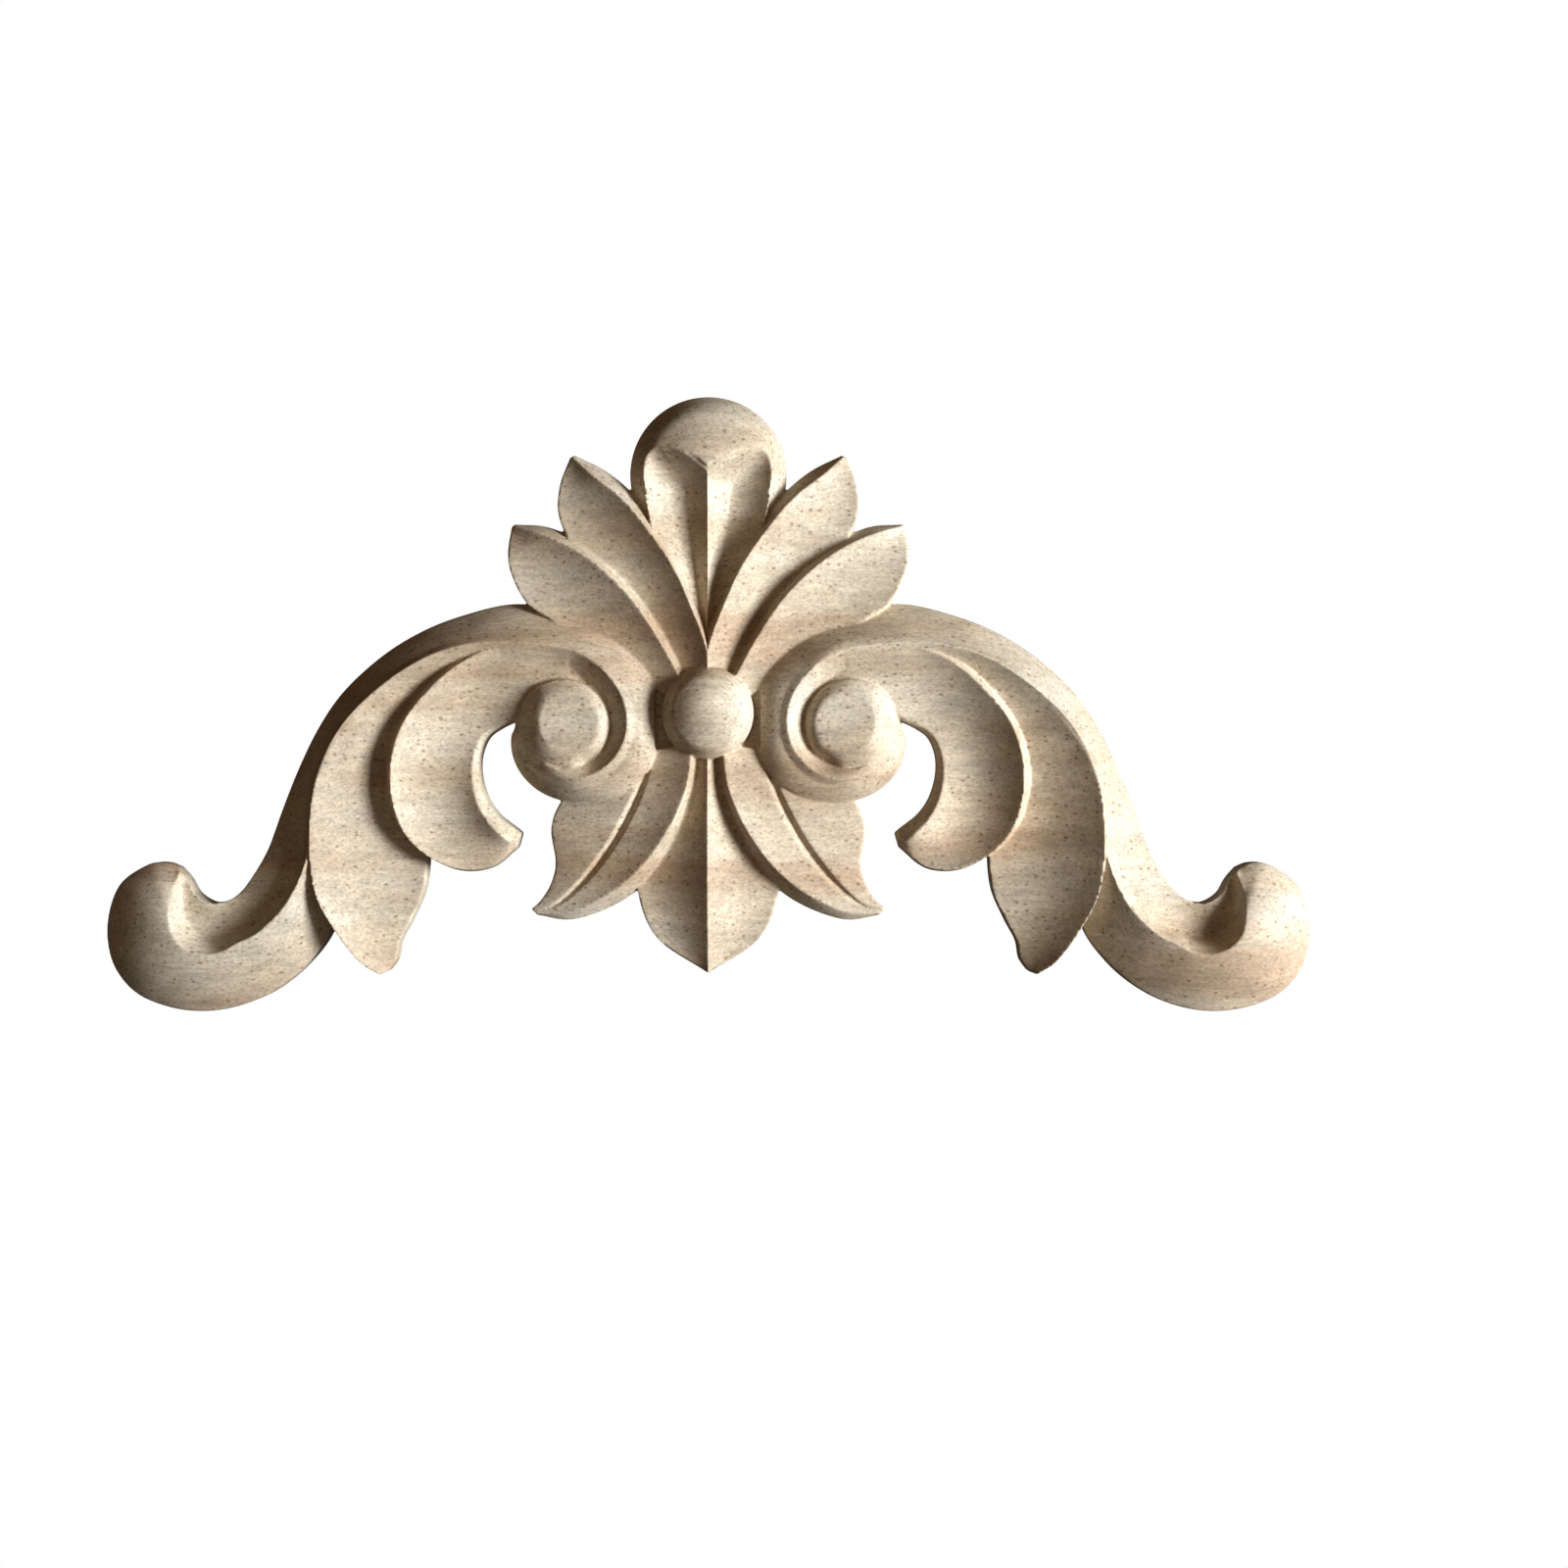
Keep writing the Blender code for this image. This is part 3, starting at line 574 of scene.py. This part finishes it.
# %% Carve the eye
EYE_RADIUS = 8.2
EYE_FLAT = 4.8
EYE_LEAN = 1.3
EYE_LEAN_TURN = 10.0
EYE_MARGIN = 0.2
EYE_RIM = 4.0
EYE_TOP = 9.4
GROOVE_END = 105.0
OUTLINE_EASE = 25.0
SLOPE_EASE = [40.0, 60.0]
OPEN_SLOPE = [1.0, 0.89, 0.72, 0.53, 0.31, 0.0]
GROOVE_SLOPE = [1.0, 0.97, 0.91, 0.82, 0.68, 0.0]


def eye_outline(degrees):
    """Follows the scroll's edge up to the groove's end and is round from there on."""
    if degrees > GROOVE_END:
        fall = min(1.0, (degrees - GROOVE_END) / OUTLINE_EASE)
        return EYE_RADIUS + (spiral_reach(GROOVE_END) - EYE_MARGIN - EYE_RADIUS) * (1 - fall) ** 2
    return spiral_reach(degrees) - EYE_MARGIN


def eye_slope(degrees):
    """Falls gently and then at once beside the groove, and steadily on the open side."""
    after = max(0.0, (degrees - GROOVE_END) / SLOPE_EASE[0])
    before = (360 - degrees) / SLOPE_EASE[1]
    beside = min(1.0, after, before)
    return [a + (b - a) * beside for a, b in zip(OPEN_SLOPE, GROOVE_SLOPE)]


def eye_flat(degrees):
    """The edge of the flat top, which leans towards the ball."""
    return EYE_FLAT - EYE_LEAN * math.cos(math.radians(degrees - EYE_LEAN_TURN))


forms.append(boss("eye", EYE_CENTRE, eye_outline, EYE_RIM, EYE_TOP, eye_slope, eye_flat))

# %% [markdown]
# ## One piece of wood
# The onlay is cut from one board, so the forms have to become one skin. They are joined, and a
# voxel remesh wraps them in one closed surface, which also softens each edge a little, as sanding
# does. A light smoothing takes the voxel steps out. Then the half is cut off at the middle,
# mirrored and merged, a cut at the back makes it flat, and a decimation keeps the count of
# triangles moderate.

# %% Join, mirror and remesh
VOXEL = 0.22 * MM
SEAM_MERGE = 1e-6
ON_PLANE = 1e-7
MOST_TRIANGLES = 186000
CRISP_ANGLE = math.radians(40)


def apply_modifier(piece, kind, **settings):
    """Adds a modifier with its settings and applies it."""
    pick(piece)
    modifier = piece.modifiers.new(kind.lower(), kind)
    for name, value in settings.items():
        setattr(modifier, name, value)
    bpy.ops.object.modifier_apply(modifier=modifier.name)


def join_forms(pieces, name):
    """Joins the forms into one object."""
    clean_selection()
    for piece in pieces:
        piece.select_set(True)
    bpy.context.view_layer.objects.active = pieces[0]
    bpy.ops.object.join()
    joined = bpy.context.object
    joined.name = name
    return joined


def cut_side(piece, place, normal, fill):
    """Cuts away what lies on the normal's side of a plane, and may close the cut.

    The cut's threshold is tiny, so that every point on the cut lies on the plane itself and
    meets its mirror image.
    """
    pick(piece)
    bpy.ops.object.mode_set(mode="EDIT")
    bpy.ops.mesh.select_all(action="SELECT")
    bpy.ops.mesh.bisect(
        plane_co=place, plane_no=normal, use_fill=fill, clear_outer=True, threshold=ON_PLANE
    )
    bpy.ops.object.mode_set(mode="OBJECT")


def mirror_half(piece):
    """Adds the mirror image of the half and merges the two along the middle."""
    pick(piece)
    bpy.ops.object.duplicate()
    copy = bpy.context.object
    bpy.ops.object.mode_set(mode="EDIT")
    bpy.ops.mesh.select_all(action="SELECT")
    bpy.ops.transform.resize(value=(-1, 1, 1), center_override=(0, 0, 0))
    bpy.ops.mesh.flip_normals()
    bpy.ops.object.mode_set(mode="OBJECT")
    whole = join_forms([piece, copy], piece.name)
    bpy.ops.object.mode_set(mode="EDIT")
    bpy.ops.mesh.select_all(action="DESELECT")
    bpy.ops.mesh.select_mode(type="VERT")
    bpy.ops.mesh.select_non_manifold()
    bpy.ops.mesh.remove_doubles(threshold=SEAM_MERGE)
    bpy.ops.object.mode_set(mode="OBJECT")
    return whole


def open_edges(piece):
    """Counts the edges that don't join exactly two faces."""
    shape = bmesh.new()
    shape.from_mesh(piece.data)
    count = sum(not edge.is_manifold for edge in shape.edges)
    shape.free()
    return count


def triangle_count(piece):
    """How many triangles the piece's faces split into."""
    return sum(len(face.vertices) - 2 for face in piece.data.polygons)


onlay = join_forms(forms, "onlay_wood")
apply_modifier(onlay, "REMESH", mode="VOXEL", voxel_size=VOXEL)
print("half has", len(onlay.data.polygons), "faces after the remesh")
apply_modifier(onlay, "SMOOTH", factor=0.5, iterations=3)
cut_side(onlay, (0, 0, 0), (-1, 0, 0), fill=False)
onlay = mirror_half(onlay)
cut_side(onlay, (0, 0, 0), (0, 1, 0), fill=True)
fine_count = triangle_count(onlay)
apply_modifier(onlay, "DECIMATE", ratio=min(1.0, MOST_TRIANGLES / fine_count))
bpy.ops.object.shade_smooth_by_angle(angle=CRISP_ANGLE)
print("one skin of", triangle_count(onlay), "triangles, from", fine_count)
print("open edges:", open_edges(onlay))

# %% [markdown]
# ## Helpers for shader nodes
# A material is a tree of nodes, and the same few steps come back in it: noise that is stretched
# along the grain, a range that is mapped to another, and two colours that are mixed. Each step
# gets a helper. An effect is then built as a node group with named sockets, so that it can be
# placed in any wood of the same kind with values of its own.

# %% Helpers for shader nodes
def add_node(tree, kind, place, **values):
    """Adds a shader node and sets its properties and inputs by name."""
    node = tree.nodes.new(kind)
    node.location = place
    for name, value in values.items():
        if name in node.inputs:
            node.inputs[name].default_value = value
        else:
            setattr(node, name, value)
    return node


def feed(tree, source, socket):
    """Joins a socket to another, or sets it where the source is a plain value."""
    if isinstance(source, bpy.types.NodeSocket):
        tree.links.new(source, socket)
    else:
        socket.default_value = source


def stretched(tree, place, vector, scale):
    """Coordinates in patches of a pattern: so many per metre along, through and up the board."""
    mapping = add_node(tree, "ShaderNodeMapping", place, Scale=scale)
    feed(tree, vector, mapping.inputs["Vector"])
    return mapping.outputs["Vector"]


def noise(tree, place, vector, scale, detail, roughness):
    """Stretched noise, as a value around one half."""
    made = add_node(tree, "ShaderNodeTexNoise", place, Scale=1.0, Detail=detail, Roughness=roughness)
    where = stretched(tree, (place[0] - 200, place[1]), vector, scale)
    feed(tree, where, made.inputs["Vector"])
    return made.outputs["Fac"]


def ranged(tree, place, value, before, after):
    """Maps a value from one range to another and stops at its ends."""
    made = add_node(tree, "ShaderNodeMapRange", place)
    feed(tree, value, made.inputs["Value"])
    for label, number in zip(("From Min", "From Max", "To Min", "To Max"), (*before, *after)):
        made.inputs[label].default_value = number
    return made.outputs["Result"]


def worked_out(tree, place, operation, first, second):
    """One step of arithmetic."""
    made = add_node(tree, "ShaderNodeMath", place, operation=operation)
    feed(tree, first, made.inputs[0])
    feed(tree, second, made.inputs[1])
    return made.outputs["Value"]


def blended(tree, place, kind, factor, first, second):
    """Mixes two colours by a factor."""
    made = add_node(tree, "ShaderNodeMix", place, data_type="RGBA", blend_type=kind)
    feed(tree, factor, made.inputs["Factor"])
    feed(tree, first, made.inputs[6])
    feed(tree, second, made.inputs[7])
    return made.outputs[2]


def new_group(name, inputs, outputs):
    """A node group with named sockets, and its input and output nodes."""
    tree = bpy.data.node_groups.new(name, "ShaderNodeTree")
    tree.interface.new_socket(name="Vector", in_out="INPUT", socket_type="NodeSocketVector")
    for label, value in inputs.items():
        socket = tree.interface.new_socket(name=label, in_out="INPUT", socket_type="NodeSocketFloat")
        socket.default_value = value
    for label, kind in outputs.items():
        tree.interface.new_socket(name=label, in_out="OUTPUT", socket_type=kind)
    given = add_node(tree, "NodeGroupInput", (-1000, 0))
    result = add_node(tree, "NodeGroupOutput", (600, 0))
    return tree, given.outputs, result.inputs


print("noise, range, arithmetic and mix helpers are ready")

# %% [markdown]
# ## The board's own colour
# Unfinished pale hardwood isn't one cream. Broad bands along the grain drift from cream to a
# pinkish brown, and soft blotches a few millimetres wide lie over them. Fine streaks and a
# speckle of short fibres vary how light each spot is. All of it is drawn in the solid space of
# the board, so the bands run on from one leaf to the next.

# %% Grain group
BAND_STOPS = [(0.34, (0.61, 0.475, 0.34, 1)), (0.47, (0.70, 0.60, 0.46, 1)),
              (0.62, (0.75, 0.675, 0.545, 1))]


def grain_group():
    """Colour of the sanded surface, and a height for the fibres."""
    tree, given, result = new_group(
        "board_grain",
        {"Streaks": 1.0},
        {"Color": "NodeSocketColor", "Height": "NodeSocketFloat"},
    )
    where = given["Vector"]
    bands = noise(tree, (-700, 400), where, (14, 60, 95), 3.0, 0.5)
    ramp = add_node(tree, "ShaderNodeValToRGB", (-450, 400))
    feed(tree, bands, ramp.inputs["Fac"])
    stops = ramp.color_ramp.elements
    stops.new(BAND_STOPS[1][0])
    for stop, (place, colour) in zip(stops, BAND_STOPS):
        stop.position = place
        stop.color = colour
    blotches = noise(tree, (-700, 150), where, (110, 260, 260), 3.0, 0.6)
    blotches = ranged(tree, (-450, 150), blotches, (0.3, 0.7), (0.85, 1.08))
    streaks = noise(tree, (-700, -100), where, (90, 1300, 1300), 4.0, 0.6)
    light = ranged(tree, (-450, -100), streaks, (0.3, 0.7), (0.86, 1.08))
    speckle = noise(tree, (-700, -350), where, (1500, 2600, 2600), 2.0, 0.7)
    speckle = ranged(tree, (-450, -350), speckle, (0.3, 0.65), (0.80, 1.07))
    tone = worked_out(tree, (-200, -100), "MULTIPLY", light, speckle)
    tone = worked_out(tree, (0, 0), "MULTIPLY", tone, blotches)
    tone = blended(tree, (200, 0), "MIX", given["Streaks"], (1, 1, 1, 1), tone)
    coloured = blended(tree, (400, 200), "MULTIPLY", 1.0, ramp.outputs["Color"], tone)
    feed(tree, coloured, result["Color"])
    feed(tree, streaks, result["Height"])
    return tree


print("grain group:", len(grain_group().nodes), "nodes")

# %% [markdown]
# ## Pores
# The wood is full of vessels that run along the grain. Where the surface is cut across they show
# as dots, and where it runs along them they show as short dashes. A Voronoi pattern gives one
# random point in each cell. Stretched along the grain, a small ball round that point is a short
# tube, which gives both looks from one pattern.

# %% Pore group
def pore_group():
    """A mask that is one in the middle of a pore; each pore has its own strength."""
    tree, given, result = new_group(
        "pores",
        {"Size": 0.3, "Faintest": 0.0},
        {"Mask": "NodeSocketFloat"},
    )
    cells = add_node(tree, "ShaderNodeTexVoronoi", (-700, 0), Scale=1.0, Randomness=1.0)
    feed(tree, given["Vector"], cells.inputs["Vector"])
    share = worked_out(tree, (-450, 100), "DIVIDE", cells.outputs["Distance"], given["Size"])
    depth = ranged(tree, (-250, 100), share, (0.45, 1.0), (1.0, 0.0))
    chance = add_node(tree, "ShaderNodeSeparateColor", (-450, -200))
    feed(tree, cells.outputs["Color"], chance.inputs["Color"])
    strength = worked_out(tree, (-250, -200), "SUBTRACT", chance.outputs[0], given["Faintest"])
    strength = ranged(tree, (-50, -200), strength, (0.0, 0.5), (0.0, 1.0))
    feed(tree, worked_out(tree, (200, 0), "MULTIPLY", depth, strength), result["Mask"])
    return tree


print("pore group:", len(pore_group().nodes), "nodes")

# %% [markdown]
# ## Pale sanded wood
# The material puts the two groups together. Large pores lie over many fine ones. An Ambient
# Occlusion node browns whatever lies deep between other forms: this is painted shade in the
# creases and narrow places. The bump comes from the same streaks and pores as the colour, and the
# surface stays matte, because nothing has been put on it yet.

# %% Wood material
LARGE_PORES = (640, 1000, 1000)
SMALL_PORES = (1000, 2100, 2100)
LARGE_DEPTH = 0.62
SMALL_DEPTH = 0.42
PORE_BROWN = (0.28, 0.165, 0.09, 1)
# painted shade: the brown that creases and recesses are darkened towards
PAINTED_CREASE_SHADE = (0.27, 0.15, 0.075, 1)


def place_group(tree, name, place, vector, **values):
    """Puts a node group in the material."""
    node = add_node(tree, "ShaderNodeGroup", place, node_tree=bpy.data.node_groups[name])
    feed(tree, vector, node.inputs["Vector"])
    for label, value in values.items():
        node.inputs[label].default_value = value
    return node.outputs


def wood_material():
    """Cream bands, streaks and pores on a matte sanded surface."""
    material = bpy.data.materials.new("sanded_wood")
    material.use_nodes = True
    tree = material.node_tree
    shader = tree.nodes["Principled BSDF"]
    where = add_node(tree, "ShaderNodeTexCoord", (-1200, 0)).outputs["Object"]
    grain = place_group(tree, "board_grain", (-800, 300), where)
    wide = stretched(tree, (-1000, 0), where, LARGE_PORES)
    large = place_group(tree, "pores", (-800, 0), wide, Size=0.3, Faintest=0.2)["Mask"]
    large = worked_out(tree, (-600, 0), "MULTIPLY", large, LARGE_DEPTH)
    narrow = stretched(tree, (-1000, -250), where, SMALL_PORES)
    small = place_group(tree, "pores", (-800, -250), narrow, Size=0.36, Faintest=0.25)["Mask"]
    small = worked_out(tree, (-600, -250), "MULTIPLY", small, SMALL_DEPTH)
    pores = worked_out(tree, (-400, -100), "MAXIMUM", large, small)
    colour = blended(tree, (-200, 200), "MIX", pores, grain["Color"], PORE_BROWN)
    # Painted shade: the Ambient Occlusion value darkens the colour towards brown in creases and
    # recesses, where shade falls.
    crease_occlusion = add_node(tree, "ShaderNodeAmbientOcclusion", (-600, 600), samples=8, Distance=0.005)
    unshaded_share = ranged(tree, (-400, 600), crease_occlusion.outputs["AO"], (0.25, 0.95), (0.9, 1.0))
    colour = blended(tree, (0, 300), "MIX", unshaded_share, PAINTED_CREASE_SHADE, colour)
    feed(tree, colour, shader.inputs["Base Color"])
    height = worked_out(tree, (-200, -250), "SUBTRACT", grain["Height"], pores)
    bump = add_node(tree, "ShaderNodeBump", (0, -250), Strength=0.3, Distance=0.0001)
    feed(tree, height, bump.inputs["Height"])
    feed(tree, bump.outputs["Normal"], shader.inputs["Normal"])
    shader.inputs["Roughness"].default_value = 0.62
    shader.inputs["Specular IOR Level"].default_value = 0.3
    print("material", material.name, "has", len(tree.nodes), "nodes")
    return material


onlay.data.materials.clear()
onlay.data.materials.append(wood_material())
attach(onlay, "root")
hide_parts(NODE)

# %% [markdown]
# ## A plain studio
# The onlay is shown on plain white, as a cut-out, so it stands free of a wide white sweep. The
# sweep is a floor bent up into a back wall. One lamp from the right rakes over the carving and
# leaves the sides that face left in shade, which is what makes the relief read. A weak warm lamp
# in front and a low brown light from all round keep the shade from going black.

# %% Sweep, lamps and camera
FLOOR_Z = -0.30
WALL_Y = 0.80
WALL_HEIGHT = 2.0
WALL_BEND = 0.2
SWEEP_HALF_WIDTH = 2.0
SHADE_LIGHT = (0.087, 0.059, 0.032, 1)
CAMERA_PLACE = (12.6 * MM, -366 * MM, -11.7 * MM)


def pale_material():
    """White to the camera, and a dim pale grey to the light that it sends back."""
    material = bpy.data.materials.new("pale_sweep")
    material.use_nodes = True
    tree = material.node_tree
    tree.nodes.clear()
    output = add_node(tree, "ShaderNodeOutputMaterial", (400, 0))
    mix = add_node(tree, "ShaderNodeMixShader", (200, 0))
    seen = add_node(tree, "ShaderNodeEmission", (0, -100), Color=(1, 1, 1, 1), Strength=1.0)
    matte = add_node(tree, "ShaderNodeBsdfDiffuse", (0, 50), Color=(0.2, 0.2, 0.2, 1))
    path = add_node(tree, "ShaderNodeLightPath", (0, 400))
    tree.links.new(path.outputs["Is Camera Ray"], mix.inputs["Fac"])
    tree.links.new(matte.outputs["BSDF"], mix.inputs[1])
    tree.links.new(seen.outputs["Emission"], mix.inputs[2])
    tree.links.new(mix.outputs["Shader"], output.inputs["Surface"])
    return material


def add_sweep():
    """A floor whose back edge is extruded up into a wall, with a round bend between."""
    clean_selection()
    bpy.ops.mesh.primitive_plane_add(size=2 * SWEEP_HALF_WIDTH, location=(0, 0, FLOOR_Z))
    sweep = bpy.context.object
    sweep.name = "sweep"
    bpy.ops.object.transform_apply(location=True, rotation=True, scale=True)
    for vertex in sweep.data.vertices:
        if vertex.co.y > 0:
            vertex.co.y = WALL_Y
        vertex.select = vertex.co.y > 0
    for edge in sweep.data.edges:
        edge.select = all(sweep.data.vertices[n].select for n in edge.vertices)
    for face in sweep.data.polygons:
        face.select = False
    bpy.ops.object.mode_set(mode="EDIT")
    bpy.ops.mesh.select_mode(type="EDGE")
    bpy.ops.mesh.extrude_edges_move(TRANSFORM_OT_translate={"value": (0, 0, WALL_HEIGHT)})
    bpy.ops.object.mode_set(mode="OBJECT")
    apply_modifier(sweep, "BEVEL", width=WALL_BEND, segments=12, affect="EDGES")
    sweep.data.materials.append(pale_material())
    return sweep


def add_lamp(name, place, size, power, colour):
    """A square area lamp aimed at the onlay."""
    lamp = bpy.data.lights.new(name, "AREA")
    lamp.shape = "SQUARE"
    lamp.size = size
    lamp.energy = power
    lamp.color = colour
    holder = bpy.data.objects.new(name, lamp)
    holder.location = place
    holder.rotation_euler = (-Vector(place)).to_track_quat("-Z", "Y").to_euler()
    bpy.context.scene.collection.objects.link(holder)


def set_world():
    """White behind everything, with a low even light of its own."""
    world_light = bpy.data.worlds.new("studio")
    world_light.use_nodes = True
    tree = world_light.node_tree
    path = add_node(tree, "ShaderNodeLightPath", (-400, 0))
    seen = path.outputs["Is Camera Ray"]
    colour = blended(tree, (-200, 0), "MIX", seen, SHADE_LIGHT, (1, 1, 1, 1))
    feed(tree, colour, tree.nodes["Background"].inputs["Color"])
    bpy.context.scene.world = world_light


def add_camera():
    """Straight on, a little right of and below the ball, as the picture is framed."""
    camera = bpy.data.cameras.new("camera")
    camera.lens = 50
    camera.sensor_width = 36
    holder = bpy.data.objects.new("camera", camera)
    holder.location = CAMERA_PLACE
    holder.rotation_euler = (math.radians(90), 0, 0)
    bpy.context.scene.collection.objects.link(holder)
    bpy.context.scene.camera = holder


add_sweep()
add_lamp("key", (0.93, -0.53, -0.02), 0.36, 21.7, (0.88, 0.92, 0.98))
add_lamp("fill", (-0.1, -0.95, 0.1), 0.7, 0.8, (1.0, 0.74, 0.48))
set_world()
add_camera()
bpy.context.scene.view_settings.view_transform = "Standard"
bpy.context.scene.view_settings.gamma = 0.78
